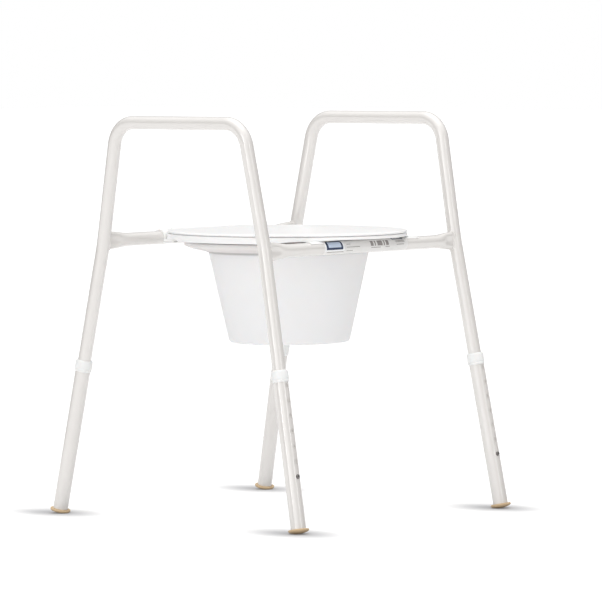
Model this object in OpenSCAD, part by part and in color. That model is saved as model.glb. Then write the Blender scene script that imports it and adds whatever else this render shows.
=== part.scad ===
// Commode chair: two bent side frames joined by two cross rails, four telescopic legs with
// snap buttons, a hinged seat ring and lid on the rear rail, and a pan that slides out sideways.
// Millimetres. +Z is up, +X is the sitter's left, -Y is the front, and z = 0 is the floor.

/* [Side frames] */
// Height of the arm bars' centre line above the floor
arm_bar_h = 668.5; // [655:0.5:680]
// Length of an arm bar between the corner points of its two bends
arm_bar_l = 288.8; // [280:0.2:300]
// How far the arm bars stand in front of the middle of the feet
arm_bar_y = -6.2; // [-10:0.1:10]
// Distance between the side frames' centre lines at the knee
frame_w = 484.3; // [480:0.1:500]
// Height of the knee where each leg starts to lean outward again
knee_h = 463; // [461:0.5:465]
// Lean of the front legs in side view, degrees
front_lean = 10.6; // [9:0.1:12]
// Lean of the rear legs in side view, degrees
rear_lean = 11.6; // [9:0.1:12]
// Outward lean of the side frames above and below the knee, degrees
splay = 2.1; // [1.5:0.1:2.5]
// Centre-line radius of the arm bar bends
bend_r = 45; // [40:1:55]
// Outside diameter of the frame tube
tube_d = 22.2; // [22:0.1:22.4]
// Wall of the frame tube
tube_wall = 1.2; // [1:0.1:1.6]

/* [Cross rails] */
// Height of the front rail's centre line
front_rail_h = 458; // [456:0.5:460]
// Height of the rear rail's centre line, which is also the hinge line
rear_rail_h = 468; // [466:0.5:469]
// Length of the pressed part at each end of a rail
rail_flare_l = 54; // [45:1:60]
// Height of a pressed rail end at the leg
rail_end_h = 30; // [26:1:32]
// Thickness of a pressed rail end at the leg
rail_end_t = 12.6; // [11:0.1:14]

/* [Telescopic legs] */
// Outside diameter of the leg sleeve
sleeve_d = 25.4; // [25:0.1:26]
// Bore of the leg sleeve
sleeve_bore = 22.8; // [22.6:0.1:23]
// Height of the sleeve's lower end along the leg axis
sleeve_bottom = 9; // [8:0.5:11]
// Height of the sleeve's upper end along the leg axis
sleeve_top = 268; // [264:1:275]
// Lower end of the frame tube inside the sleeve, along the leg axis
inner_end = 60; // [50:1:65]
// Height of the lowest adjustment hole along the leg axis
button_s = 93; // [88:0.5:95]
// Spacing of the adjustment holes
hole_pitch = 25; // [24:0.5:25]
// Number of adjustment holes in each sleeve
hole_count = 7; // [5:1:7]
// Diameter of the snap button
button_d = 6.8; // [6:0.1:7]
// How far the snap button stands out of the sleeve
button_proud = 2.6; // [2:0.1:3]
// Outside diameter of the collar at the sleeve's upper end
collar_d = 29.3; // [28:0.1:31]
// Height of the collar
collar_h = 20; // [18:0.5:22]
// Diameter of the rubber tip's flange
tip_d = 36; // [34:0.5:40]
// Crown radius of the rubber tip's sole
tip_crown_r = 40; // [36:1:50]

/* [Seat and lid] */
// Half width of the seat
seat_a = 187; // [184:0.5:189]
// From the widest line to the front of the seat
seat_front = 213.5; // [205:0.5:218]
// From the widest line to the rear of the seat's full oval, behind the straight cut
seat_rear = 224; // [220:0.5:228]
// Position of the seat's widest line
seat_y = -23.7; // [-26:0.1:-20]
// Position of the seat's straight rear edge
seat_back_y = 161.8; // [161:0.1:162]
// Half width of the seat's opening
hole_a = 98; // [90:1:102]
// Half length of the seat's opening
hole_b = 124; // [110:1:126]
// Wall of the moulded seat and lid
shell = 3; // [2.5:0.1:3.2]
// Distance of each seat clip from the middle of the rear rail
clip_x = 94; // [92:1:98]
// Distance of each lid lug from the middle of the rear rail
lug_x = 64; // [58:1:66]

/* [Pan] */
// Outside radius of the pan's wall at the top
pan_top_r = 137; // [134:0.5:138]
// Outside radius of the pan's wall at the bottom
pan_bottom_r = 103; // [98:0.5:108]
// Height of the pan's bottom above the floor
pan_bottom_z = 291; // [285:1:300]
// Radius of the pan's grip ears
ear_r = 178; // [174:0.5:179]
// Wall of the pan
pan_wall = 2.5; // [2:0.1:3]

/* [Hidden] */
$fn = 64;

LEFT = 1;
RIGHT = -1;
FRONT = -1;
REAR = 1;

tube_r = tube_d / 2;
bore_r = tube_r - tube_wall;
sleeve_r = sleeve_d / 2;
gap = 0.05;                       // running clearance between moving pieces
touch = 0.02;                     // gap between pieces fixed to each other
far = 200;                        // longer than any cut needs
cope_low = 350;                   // how far down the legs the rails are coped to them
hole_reach = 25;                  // from a leg's axis to outside its sleeve
hole_play = 0.1;                  // how much wider than a button's radius its hole in the frame tube is
sleeve_hole_play = 0.4;           // and its holes in the sleeve
lap = 1;                          // how far one stretch of frame tube runs into the next
bend_draw = 0.25;                 // how much the tube's radius shrinks as it is drawn round a bend

function lean(end) = end == FRONT ? front_lean : rear_lean;
// distance of a knee from the arm bar's middle, along Y
function knee_reach(end) = arm_bar_l / 2 + (arm_bar_h - knee_h) / cos(splay) * tan(lean(end));
// place of a leg's centre line along Y, at height z near the knee
function leg_y(end, z) = arm_bar_y + end * (knee_reach(end) + (knee_h - z) * tan(lean(end)));
// length of a leg's centre line from the floor to the knee
function leg_l(end) = knee_h / (cos(lean(end)) * cos(splay));

front_rail_y = leg_y(FRONT, front_rail_h);
rear_rail_y = leg_y(REAR, rear_rail_h);
rail_end_x = frame_w / 2 - 8;     // a rail runs on to here before its leg is cut out of it
rail_mid_x = frame_w / 2 - tube_r - rail_flare_l + 6;

// ---------- placing ----------

// The children, modelled along +Z from the floor, moved onto one leg's centre line.
// Their own -Y side faces away from the middle of the chair, and their own +X side faces outward.
module on_leg(side, end) {
    translate([0, arm_bar_y, 0])
    mirror([side == LEFT ? 0 : 1, 0, 0])
    mirror([0, end == FRONT ? 0 : 1, 0])
    translate([frame_w / 2, -knee_reach(end), knee_h])
    rotate([-lean(end), -splay, 0])
    translate([0, 0, -leg_l(end)])
    children();
}

module along_x(half_l) {
    rotate([0, 90, 0]) translate([0, 0, -half_l]) children();
}

// ---------- side frames ----------

// One straight stretch of a leg as a solid bar from its knee up or down, cut square to the knee's mitre.
module leg_stretch(end, up, r, length) {
    mitre = atan2(sin(lean(end)), cos(lean(end)) * cos(splay));
    translate([0, end * knee_reach(end), 0])
    mirror([0, end == FRONT ? 0 : 1, 0])
    intersection() {
        rotate([-lean(end), up * splay, 0])
            translate([0, 0, up > 0 ? -lap : -length]) cylinder(r = r, h = length + lap);
        rotate([-mitre, 0, 0])
            translate([-far / 2, -far / 2, up > 0 ? 0 : -far * 3]) cube([far, far, far * 3]);
    }
}

// The left side frame's bent tube as a solid bar of radius r, down to the height low on the legs' axes.
// The straight stretches run a little way into the bends.
module frame_bar(r, low) {
    top_w = (arm_bar_h - knee_h) / cos(splay);
    translate([frame_w / 2, arm_bar_y, knee_h])
    for (end = [FRONT, REAR]) {
        turn = 90 - lean(end);
        tangent = bend_r * tan(turn / 2);
        half_bar = arm_bar_l / 2 - tangent;
        leg_stretch(end, 1, r, top_w / cos(lean(end)) - tangent + lap);
        leg_stretch(end, -1, r, leg_l(end) - low);
        rotate([0, splay, 0])
        mirror([0, end == FRONT ? 0 : 1, 0])
        translate([0, -half_bar, top_w - bend_r])
        rotate([180, -90, 0]) {
            translate([bend_r, lap, 0]) rotate([90, 0, 0]) cylinder(r = r, h = half_bar + 2 * lap);
            rotate_extrude(angle = turn) translate([bend_r, 0]) circle(r = r - bend_draw);
        }
    }
}

module button_hole(side, end, s, r) {
    on_leg(side, end) translate([0, 0, s]) rotate([90, 0, 0]) cylinder(r = r, h = hole_reach);
}

module side_frame() {
    color([0.92, 0.9, 0.88])
    difference() {
        frame_bar(tube_r, inner_end);
        frame_bar(bore_r, inner_end - 10);
        for (end = [FRONT, REAR]) button_hole(LEFT, end, button_s, button_d / 2 + hole_play);
    }
}

module side_frame_left() { side_frame(); }
module side_frame_right() { mirror([1, 0, 0]) side_frame(); }

// ---------- cross rails ----------

module rail(y, z) {
    color([0.92, 0.9, 0.88])
    difference() {
        translate([0, y, z]) {
            difference() {
                along_x(rail_mid_x) cylinder(r = tube_r, h = 2 * rail_mid_x);
                along_x(rail_mid_x) translate([0, 0, -1]) cylinder(r = bore_r, h = 2 * rail_mid_x + 2);
            }
            for (side = [LEFT, RIGHT]) mirror([side == LEFT ? 0 : 1, 0, 0]) hull() {
                translate([rail_mid_x, 0, 0]) rotate([0, 90, 0]) cylinder(r = tube_r, h = 1, $fn = 32);
                for (dz = [-1, 1])
                    translate([rail_end_x, 0, dz * (rail_end_h - rail_end_t) / 2])
                    rotate([0, 90, 0]) cylinder(d = rail_end_t, h = 1, $fn = 32);
            }
        }
        for (side = [LEFT, RIGHT]) mirror([side == LEFT ? 0 : 1, 0, 0]) frame_bar(tube_r + touch, cope_low);
    }
}

module front_rail() { rail(front_rail_y, front_rail_h); }
module rear_rail() { rail(rear_rail_y, rear_rail_h); }

// A plain sticker wrapped round the front of the front rail.
module rail_label() {
    from_top = 50;
    wrap = 100;
    label_x = -106;
    label_l = 224;
    film = 0.15;
    color("white")
    translate([label_x, front_rail_y, front_rail_h])
    rotate([90, 0, 90])
    rotate([0, 0, 90 + from_top])
    rotate_extrude(angle = wrap)
    translate([tube_r + touch / 2, 0]) square([film, label_l]);
}

// ---------- legs ----------

module leg_sleeve(side, end) {
    color([0.92, 0.9, 0.88])
    difference() {
        on_leg(side, end) difference() {
            translate([0, 0, sleeve_bottom]) cylinder(r = sleeve_r, h = sleeve_top - sleeve_bottom);
            cylinder(d = sleeve_bore, h = sleeve_top + 10);
        }
        for (i = [0:hole_count - 1])
            button_hole(side, end, button_s + i * hole_pitch, button_d / 2 + sleeve_hole_play);
    }
}

// The collar caps the sleeve's upper end and guides the frame tube.
module leg_collar(side, end) {
    lip = 2;
    bottom = sleeve_top + lip - collar_h;
    color("white")
    on_leg(side, end) rotate_extrude() polygon([
        [tube_r + gap, sleeve_top + touch], [tube_r + gap, sleeve_top + lip],
        [collar_d / 2 - 1.6, sleeve_top + lip], [collar_d / 2 - 0.4, sleeve_top + lip - 2],
        [collar_d / 2, bottom + 6], [collar_d / 2 - 0.5, bottom + 3], [collar_d / 2 - 1.1, bottom],
        [sleeve_r + touch, bottom], [sleeve_r + touch, sleeve_top + touch]]);
}

// The rubber tip: a plug in the sleeve, and a flange with a crowned sole that the floor flattens.
module foot_tip(side, end) {
    flat = 0.4;
    crown_s = (tip_crown_r - flat) / (cos(lean(end)) * cos(splay));
    plug_h = 24;
    color([0.72, 0.62, 0.5])
    difference() {
        on_leg(side, end) {
            intersection() {
                translate([0, 0, crown_s]) sphere(r = tip_crown_r);
                cylinder(d = tip_d, h = sleeve_bottom - touch);
            }
            translate([0, 0, sleeve_bottom - touch]) cylinder(d = sleeve_bore - 0.1, h = plug_h);
        }
        translate([-2 * far, -2 * far, -far]) cube([4 * far, 4 * far, far]);
    }
}

// The snap button pops out through the frame tube and the sleeve, and is kept in by its foot.
module snap_button(side, end) {
    foot_from = 7.8;
    foot_t = 1;
    foot_d = button_d + 1.6;
    dome_h = 1.6;
    tip = sleeve_r + button_proud;
    dome_r = (pow(button_d / 2, 2) + pow(dome_h, 2)) / (2 * dome_h);
    color("silver")
    on_leg(side, end) translate([0, 0, button_s]) rotate([90, 0, 0]) {
        translate([0, 0, foot_from]) cylinder(d = foot_d, h = foot_t);
        translate([0, 0, foot_from + foot_t]) cylinder(d = button_d, h = tip - dome_h - foot_from - foot_t);
        intersection() {
            translate([0, 0, tip - dome_r]) sphere(r = dome_r);
            translate([0, 0, tip - dome_h]) cylinder(d = button_d, h = dome_h);
        }
    }
}

// The spring is one bent strip: an arm behind the button, a round bend, and an arm on the far wall.
module button_spring(side, end) {
    arm_l = 22;
    above = 4;
    strip = 0.5;
    width = 5;
    arm_y = 7.3;
    color("silver")
    on_leg(side, end) translate([-width / 2, 0, button_s]) {
        for (y = [-arm_y, arm_y - strip]) translate([0, y, -arm_l]) cube([width, strip, arm_l + above]);
        translate([0, 0, -arm_l]) rotate([0, 90, 0]) rotate([0, 0, -90])
            rotate_extrude(angle = 180) translate([arm_y - strip, 0]) square([strip, width]);
    }
}

// ---------- seat and lid ----------

// Points round the seat's oval, moved inward by d.
oval_n = 72;
function oval(d) = [for (i = [0:oval_n - 1]) let (t = 360 * i / oval_n)
    [(seat_a - d) * cos(t), seat_y + ((sin(t) < 0 ? seat_front : seat_rear) - d) * sin(t)]];

// A closed solid through rings of the oval, each given as [how far inward, height].
module oval_loft(rings) {
    n = oval_n;
    last = len(rings) - 1;
    points = [for (ring = rings) for (p = oval(ring[0])) [p[0], p[1], ring[1]]];
    sides = [for (k = [0:last - 1]) for (i = [0:n - 1]) let (j = (i + 1) % n)
        for (corner = [[(k + 1) * n + i, (k + 1) * n + j], [(k + 1) * n + j, k * n + j]])
            [k * n + i, corner[0], corner[1]]];
    polyhedron(points = points, faces = concat([[for (i = [0:n - 1]) i]], sides,
        [[for (i = [n - 1:-1:0]) last * n + i]]));
}

// The seat's opening as an upright prism, grown by d.
module opening(d) {
    n = 48;
    translate([0, seat_y, seat_bottom - far / 2])
    linear_extrude(far)
    polygon([for (i = [0:n - 1]) let (t = 360 * i / n) [(hole_a + d) * cos(t), (hole_b + d) * sin(t)]]);
}

// Everything behind the plane y, for the straight rear edges.
module behind(y) {
    translate([-far * 1.5, y, seat_bottom - far / 2]) cube([far * 3, far, far]);
}

seat_bottom = 465.6;
seat_top = 479.2;
// The seat's outer skin, from the lower edge of its rim to its crown.
seat_rings = [[0.8, seat_bottom], [0, 466.4], [0, 474.6], [0.5, 476.2], [1.8, 477.1], [4.5, 477.7],
    [12, 478.5], [25, 479], [45, seat_top], [66, 478.4], [80, 476.4], [96, 474]];
// The lid's outer skin, from the lower edge of its wall to its crown.
lid_edge = 478;
lid_top = 485.8;
lid_rings = [[1.6, lid_edge], [0.9, 478.3], [0.6, 479.2], [0.7, 480.4], [1.5, 481.5], [3.4, 482.1],
    [7, 482.4], [14, 482.8], [35, 483.4], [80, 484.5], [130, 485.4], [170, lid_top]];
lid_hollow = [[0.6 + shell, 470], [0.6 + shell, 479.8], [7, 480.3], [14, 480.6], [35, 481], [80, 481.6],
    [130, 482.4], [170, lid_top - shell]];

guide_y = 153;                    // from the seat's widest line to a guide's outer face
guide_lip_z = 455.6;
guide_lip_w = 11;
guide_lip_t = 1.9;
guide_flange_t = 2;
guide_screw_y = 146.5;
guide_screw_x = 70;
arm_screw_y = seat_back_y - 9;
clip_arm_t = 3.4;
saddle_x = 119;
saddle_w = 34;
screw_d = 3.5;
screw_hole_top = 473.6;
boss_d = 11;
mouth = 50;                       // half the opening of a snap ring, degrees
mouth_l = 40;                     // longer than a snap ring's radius

// The children at every place where a screw enters the seat from below.
module at_screws() {
    for (x = [-guide_screw_x, guide_screw_x], end = [FRONT, REAR])
        translate([x, seat_y + end * guide_screw_y, 0]) children();
    for (x = [-clip_x, clip_x]) translate([x, arm_screw_y, 0]) children();
}

module screw_holes() {
    depth = 40;
    at_screws() translate([0, 0, screw_hole_top - depth]) cylinder(d = screw_d + 2 * touch, h = depth);
}

// The gap of a snap ring, open toward the floor, as a prism along X.
module ring_mouth(half_w) {
    along_x(half_w) linear_extrude(2 * half_w)
        polygon([[0, 0], [mouth_l * cos(mouth), -mouth_l * sin(mouth)], [1.5 * mouth_l, 0],
            [mouth_l * cos(mouth), mouth_l * sin(mouth)]]);
}

// The seat's lower edge rises toward the front, except where the front guide is screwed to it.
module front_relief() {
    keep_x = 96;
    keep_y = front_rail_y + tube_r + 1;
    difference() {
        along_x(far) linear_extrude(2 * far) polygon([for (p = [[-110, seat_bottom - 10],
            [-110, seat_bottom], [-160, 469.4], [-190, 470.3], [-215, 472], [-260, 472],
            [-260, seat_bottom - 10]]) [-p[1], p[0]]]);
        translate([-keep_x, keep_y, seat_bottom - 20]) cube([2 * keep_x, far, 40]);
    }
}

module seat_hollow() {
    rib_t = 2.4;
    rib_up = 0.6;
    roof = [[shell + 0.2, 460], [shell + 0.2, 473.6], [6, 474.6], [12, 475.3], [25, 475.9],
        [45, seat_top - shell], [66, 475.2], [80, 473.2], [96, 470.8]];
    difference() {
        oval_loft(roof);
        behind(seat_back_y - 22);
        opening(shell);
        for (a = [0:30:150]) translate([0, seat_y, seat_bottom]) rotate([0, 0, a])
            translate([-far, -rib_t / 2, rib_up]) cube([2 * far, rib_t, far]);
        at_screws() translate([0, 0, seat_bottom]) cylinder(d = boss_d, h = far);
    }
}

module seat_ring() {
    groove_r = tube_r + 1.6;
    color("white")
    difference() {
        oval_loft(seat_rings);
        behind(seat_back_y);
        opening(0);
        seat_hollow();
        front_relief();
        translate([0, front_rail_y, front_rail_h]) along_x(far) cylinder(r = groove_r, h = 2 * far);
        screw_holes();
    }
}

// A snap clip: an open ring that turns on the rear rail, and an arm screwed under the seat.
module seat_clip(side) {
    width = 26;
    ring_r = tube_r + 3;
    arm_from = arm_screw_y - 6;
    arm_l = rear_rail_y - arm_screw_y;
    color("white")
    difference() {
        translate([side * clip_x, 0, 0]) {
            translate([0, rear_rail_y, rear_rail_h]) along_x(width / 2) cylinder(r = ring_r, h = width);
            translate([-width / 2, arm_from, seat_bottom - touch - clip_arm_t]) cube([width, arm_l, clip_arm_t]);
        }
        translate([side * clip_x, rear_rail_y, rear_rail_h]) {
            along_x(width) cylinder(r = tube_r + gap, h = 2 * width);
            ring_mouth(width);
        }
        screw_holes();
    }
}

// A saddle pad under the seat's front that sits over the front rail.
module seat_saddle(side) {
    half_wrap = 44;
    pad_t = 1.5;
    color("white")
    translate([side * saddle_x - saddle_w / 2, front_rail_y, front_rail_h])
    rotate([90, 0, 90])
    rotate([0, 0, 90 - half_wrap])
    rotate_extrude(angle = 2 * half_wrap)
    translate([tube_r + gap, 0]) square([pad_t, saddle_w]);
}

// A guide channel under the seat that carries one side of the pan.
module pan_guide(end) {
    half_l = 84;
    web = 3;
    flange_w = 11.4;
    top_z = seat_bottom - touch;
    color("white")
    difference() {
        translate([0, seat_y, 0]) mirror([0, end == FRONT ? 0 : 1, 0]) translate([-half_l, -guide_y, 0]) {
            translate([0, 0, guide_lip_z]) cube([2 * half_l, web, top_z - guide_lip_z]);
            translate([0, 0, guide_lip_z]) cube([2 * half_l, guide_lip_w, guide_lip_t]);
            translate([0, 0, top_z - guide_flange_t]) cube([2 * half_l, flange_w, guide_flange_t]);
        }
        screw_holes();
    }
}

// A screw whose head is under a plate of thickness plate_t held to the seat's underside.
module screw(plate_t, length) {
    head_d = 6.6;
    head_h = 1.6;
    translate([0, 0, seat_bottom - plate_t - 2 * touch]) {
        cylinder(d = screw_d, h = length);
        translate([0, 0, -head_h]) cylinder(d = head_d, h = head_h);
    }
}

// All the screws that hold the guides and clips to the seat.
module seat_screws() {
    color("silver") {
        for (x = [-guide_screw_x, guide_screw_x], end = [FRONT, REAR])
            translate([x, seat_y + end * guide_screw_y, 0]) screw(guide_flange_t, 9);
        for (x = [-clip_x, clip_x]) translate([x, arm_screw_y, 0]) screw(clip_arm_t, 10.5);
    }
}

module lid() {
    lug_w = 24;
    lug_r = tube_r + 3.6;
    web_z = 9.5;
    web_t = 5.2;
    wall_back = seat_back_y + 3.8;
    web_from = wall_back - rear_rail_y - 2;
    color("white")
    difference() {
        union() {
            difference() {
                oval_loft(lid_rings);
                behind(wall_back);
                difference() {
                    oval_loft(lid_hollow);
                    behind(seat_back_y + 0.8);
                }
            }
            for (x = [-lug_x, lug_x]) translate([x, rear_rail_y, rear_rail_h]) {
                along_x(lug_w / 2) cylinder(r = lug_r, h = lug_w);
                translate([-lug_w / 2, web_from, web_z]) cube([lug_w, -web_from, web_t]);
            }
        }
        translate([0, rear_rail_y, rear_rail_h]) {
            along_x(far) cylinder(r = tube_r + gap, h = 2 * far);
            ring_mouth(far);
        }
    }
}

// Four soft buffers under the lid that rest on the seat.
module lid_buffers() {
    buffer_d = 12;
    buffer_t = 1.6;
    color([0.9, 0.9, 0.9])
    for (x = [-85, 85], y = [-142, 110])
        translate([x, seat_y + y, seat_top + 0.1]) cylinder(d = buffer_d, h = buffer_t);
}

// ---------- pan ----------

// Half section of the pan: bottom, wall, dished ears and their turned-up lip.
module pan_section() {
    t = pan_wall;
    wall_top = 447.5;
    polygon([[0, pan_bottom_z], [pan_bottom_r - 5, pan_bottom_z], [pan_bottom_r - 1, pan_bottom_z + 2],
        [pan_bottom_r + 0.6, pan_bottom_z + 5], [pan_top_r, wall_top], [152, 449.7], [166, 452.8], [175, 456],
        [ear_r, 459], [ear_r, 464.4], [ear_r - t, 464.4], [ear_r - t, 460.2], [173.6, 458.6], [165, 455.4],
        [151, 452.2], [pan_top_r - t, wall_top + t], [pan_bottom_r + 0.6 - t, pan_bottom_z + 6],
        [pan_bottom_r - 6, pan_bottom_z + t], [0, pan_bottom_z + t]]);
}

module pan() {
    ear_half = 139;
    runner_l = 160;
    runner_w = 10;
    runner_t = 4;
    runner_z = guide_lip_z + guide_lip_t + gap;
    rib_t = 3;
    rib_z = 447.8;
    color([0.93, 0.93, 0.94])
    translate([0, seat_y, 0]) {
        intersection() {
            rotate_extrude($fn = 96) pan_section();
            translate([-far, -ear_half, 0]) cube([2 * far, 2 * ear_half, 3 * far]);
        }
        for (end = [FRONT, REAR]) mirror([0, end == FRONT ? 1 : 0, 0]) translate([-runner_l / 2, 0, 0]) {
            translate([0, ear_half - rib_t, rib_z]) cube([runner_l, rib_t, runner_z + runner_t - rib_z]);
            translate([0, ear_half - 1, runner_z]) cube([runner_l, runner_w + 1, runner_t]);
        }
    }
}

// ---------- nodes ----------

side_frame_left();
side_frame_right();
front_rail();
rear_rail();
rail_label();
leg_sleeve(LEFT, FRONT);  // leg_sleeve_front_left
leg_sleeve(RIGHT, FRONT);  // leg_sleeve_front_right
leg_sleeve(LEFT, REAR);  // leg_sleeve_rear_left
leg_sleeve(RIGHT, REAR);  // leg_sleeve_rear_right
leg_collar(LEFT, FRONT);  // leg_collar_front_left
leg_collar(RIGHT, FRONT);  // leg_collar_front_right
leg_collar(LEFT, REAR);  // leg_collar_rear_left
leg_collar(RIGHT, REAR);  // leg_collar_rear_right
foot_tip(LEFT, FRONT);  // foot_tip_front_left
foot_tip(RIGHT, FRONT);  // foot_tip_front_right
foot_tip(LEFT, REAR);  // foot_tip_rear_left
foot_tip(RIGHT, REAR);  // foot_tip_rear_right
snap_button(LEFT, FRONT);  // snap_button_front_left
snap_button(RIGHT, FRONT);  // snap_button_front_right
snap_button(LEFT, REAR);  // snap_button_rear_left
snap_button(RIGHT, REAR);  // snap_button_rear_right
button_spring(LEFT, FRONT);  // button_spring_front_left
button_spring(RIGHT, FRONT);  // button_spring_front_right
button_spring(LEFT, REAR);  // button_spring_rear_left
button_spring(RIGHT, REAR);  // button_spring_rear_right
seat_ring();
seat_clip(LEFT);  // seat_clip_left
seat_clip(RIGHT);  // seat_clip_right
seat_saddle(LEFT);  // seat_saddle_left
seat_saddle(RIGHT);  // seat_saddle_right
pan_guide(FRONT);  // pan_guide_front
pan_guide(REAR);  // pan_guide_rear
seat_screws();
lid();
lid_buffers();
pan();
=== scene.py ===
import math

import bmesh
import bpy
import numpy as np
from mathutils import Matrix, Vector


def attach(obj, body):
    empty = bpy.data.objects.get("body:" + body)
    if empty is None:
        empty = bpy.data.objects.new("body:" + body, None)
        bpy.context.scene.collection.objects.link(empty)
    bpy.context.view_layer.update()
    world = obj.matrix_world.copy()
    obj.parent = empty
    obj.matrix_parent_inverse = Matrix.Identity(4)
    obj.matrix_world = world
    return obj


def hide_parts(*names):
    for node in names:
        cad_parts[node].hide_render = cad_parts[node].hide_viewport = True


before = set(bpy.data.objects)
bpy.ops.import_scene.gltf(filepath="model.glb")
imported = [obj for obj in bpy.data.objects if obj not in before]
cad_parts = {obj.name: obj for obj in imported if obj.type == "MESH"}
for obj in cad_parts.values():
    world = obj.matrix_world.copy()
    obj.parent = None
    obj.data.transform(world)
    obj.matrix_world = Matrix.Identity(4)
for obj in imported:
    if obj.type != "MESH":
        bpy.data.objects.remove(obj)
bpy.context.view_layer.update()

MM = 0.001

# ---------- sizes, in millimetres and degrees ----------
# Most are the CAD source's. The knee's radius, the weld beads, the steps and the facets are only here.

# side frames
ARM_BAR_H = 668.5
ARM_BAR_L = 288.8
ARM_BAR_Y = -6.2
FRAME_W = 484.3
KNEE_H = 463.0
LEAN = {"front": 10.6, "rear": 11.6}
SPLAY = 2.1
BEND_R = 45.0
KNEE_R = 360.0
TUBE_R = 11.1
BORE_R = 9.9
INNER_END = 60.0
BEND_STEPS = 28
KNEE_STEPS = 6
STATION_GAP = 60.0

# rails
FRONT_RAIL_H = 458.0
REAR_RAIL_H = 468.0
RAIL_FLARE_START = 183.0
RAIL_FLARE_LEAD = 6.0
RAIL_END_X = 236.0
RAIL_END_H = 30.0
RAIL_END_T = 12.6
RAIL_DIMPLE = 2.6
RAIL_DIMPLE_H = 6.0
RAIL_SQUARENESS = 0.28
RAIL_FACETS = 56
BEAD_R = 1.7
BEAD_RIPPLE = 0.22
BEAD_RIPPLES = 18
BEAD_POINTS = 96

# legs; SLEEVE_BOTTOM and the tip were measured again after the CAD, which has 9 and a radius of 18
SLEEVE_R = 12.7
SLEEVE_BORE_R = 11.4
SLEEVE_BOTTOM = 8.0
SLEEVE_TOP = 268.0
BUTTON_S = 93.0
BUTTON_R = 3.4
BUTTON_DOME = 1.6
BUTTON_PROUD = 2.6
BUTTON_FOOT = 7.8
HOLE_PITCH = 25.0
HOLE_COUNT = 7
HOLE_CUT_REACH = 25.0
SLEEVE_HOLE_PLAY = 0.4
TUBE_HOLE_PLAY = 0.1
COLLAR_R = 14.65
COLLAR_TOP = 270.0
COLLAR_BOTTOM = 250.0
TIP_R = 17.3
TIP_CROWN_R = 40.0
TIP_SINK = 0.4
TIP_PLUG_R = 11.35
TIP_PLUG_TOP = 33.0

# seat and lid
SEAT_A = 187.0
SEAT_FRONT = 213.5
SEAT_REAR = 224.0
SEAT_Y = -23.7
SEAT_BACK_Y = 161.8
SEAT_BOTTOM = 465.6
RELIEF_X = 148.0
RELIEF_W = 80.0
LID_BACK = 165.6
LID_BACK_WALL = 3.2
LID_UNDER_EDGE = 3.1
LID_DRAW = 0.9
LID_DRAW_SPAN = 9
OVAL_POINTS = 220

# hinge lugs, clips and saddles; an ARM_SPAN is where the arm joins the ring, in degrees from its top
LUG_X = 64.0
LUG_W = 24.0
LUG_WALL = 3.6
LUG_ARM = (9.5, 14.7)
LUG_ARM_SPAN = (35, 60)
CLIP_X = 94.0
CLIP_W = 26.0
CLIP_WALL = 3.0
CLIP_ARM_T = 3.4
CLIP_ARM_REACH = 15.0
CLIP_ARM_SPAN = (99.8, 114.6)
RING_MOUTH = 50.0
SADDLE_X = 119.0
SADDLE_W = 34.0
SADDLE_WALL = 1.55
SADDLE_HALF_ANGLE = 44.0

# pan and guides
GUIDE_Y = 153.0
GUIDE_L = 168.0
GUIDE_W = 11.0
GUIDE_LIP_Z = 455.6
GUIDE_LIP_T = 1.9
GUIDE_FLANGE_W = 11.4
GUIDE_FLANGE_T = 2.0
GUIDE_WEB = 3.0
PAN_FLAT_Y = 139.0
PAN_WALL = 2.5
PAN_POINTS = 216
RUNNER_L = 160.0
RUNNER_PLAY = 0.05
RUNNER_Y = (136.0, 139.0, 149.0)
RUNNER_FOOT_Z = 448.0
RUNNER_T = 4.0

# gaps that keep neighbouring pieces from sharing a face
TOUCH = 0.02
RING_PLAY = 0.05

SIDES = {"left": 1, "right": -1}
ENDS = {"front": -1, "rear": 1}


# ---------- profiles: (distance inward or from the axis, height) ----------

LID_SKIN = [(2.2, 478.05), (1.5, 478.05), (1.0, 478.2), (0.7, 478.6), (0.6, 479.2), (0.6, 480.0),
            (0.8, 480.7), (1.2, 481.25), (1.9, 481.7), (2.8, 482.0), (4.4, 482.25), (7, 482.45),
            (14, 482.85), (22, 483.1), (35, 483.45), (55, 483.95), (80, 484.5), (105, 485.0),
            (130, 485.4), (155, 485.7), (178, 485.8)]
LID_UNDER = [(178, 482.8), (130, 482.4), (80, 481.6), (35, 481.0), (14, 480.6), (7, 480.3),
             (4.4, 480.0), (3.6, 479.5), (3.5, 478.6)]
PAN_OUTSIDE = [(0, 291), (60, 291), (96, 291), (98, 291.1), (100.2, 291.8), (101.8, 293.0),
               (103, 294.6), (103.6, 296), (136.2, 443.5), (136.5, 448.4), (138.9, 448.4),
               (139.3, 446.4), (140.6, 446.3), (141.4, 447.2), (152, 449.7), (160, 451.3),
               (166, 452.8), (171, 454.4), (175, 456), (177.2, 457.4), (178, 459), (178, 463.4),
               (177.4, 464.3), (176.7, 464.4)]
PAN_INSIDE = [(176.0, 464.3), (175.5, 463.6), (175.5, 460.2), (173.6, 458.6), (169, 456.9),
              (165, 455.4), (151, 452.2), (139, 450.9), (135.6, 450.4), (133.9, 448.6),
              (101.1, 297), (99.5, 294.6), (97, 293.5), (60, 293.5), (0, 293.5)]


# ---------- camera and light; places in metres, light in Blender's units ----------

CAMERA_AZIMUTH = -47.97
CAMERA_ELEVATION = 3.347
CAMERA_ROLL = -0.485
CAMERA_DISTANCE = 7.928
CAMERA_LENS = 277.64
AIM_HEIGHT = 0.4
AIM_RIGHT = 0.03342
AIM_DOWN = 0.04023

KEY_LEFT = 18.0
KEY_RISE = 0.25
KEY_TIGHTNESS = 10.0
KEY_LIGHT = 1.2
SKY_LIGHT = 1.75
ROOM_LIGHT = 0.15

STRIP_DISTANCE = 3.6
STRIP_HEIGHT = 0.9
STRIP_TALL = 2.6

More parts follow.
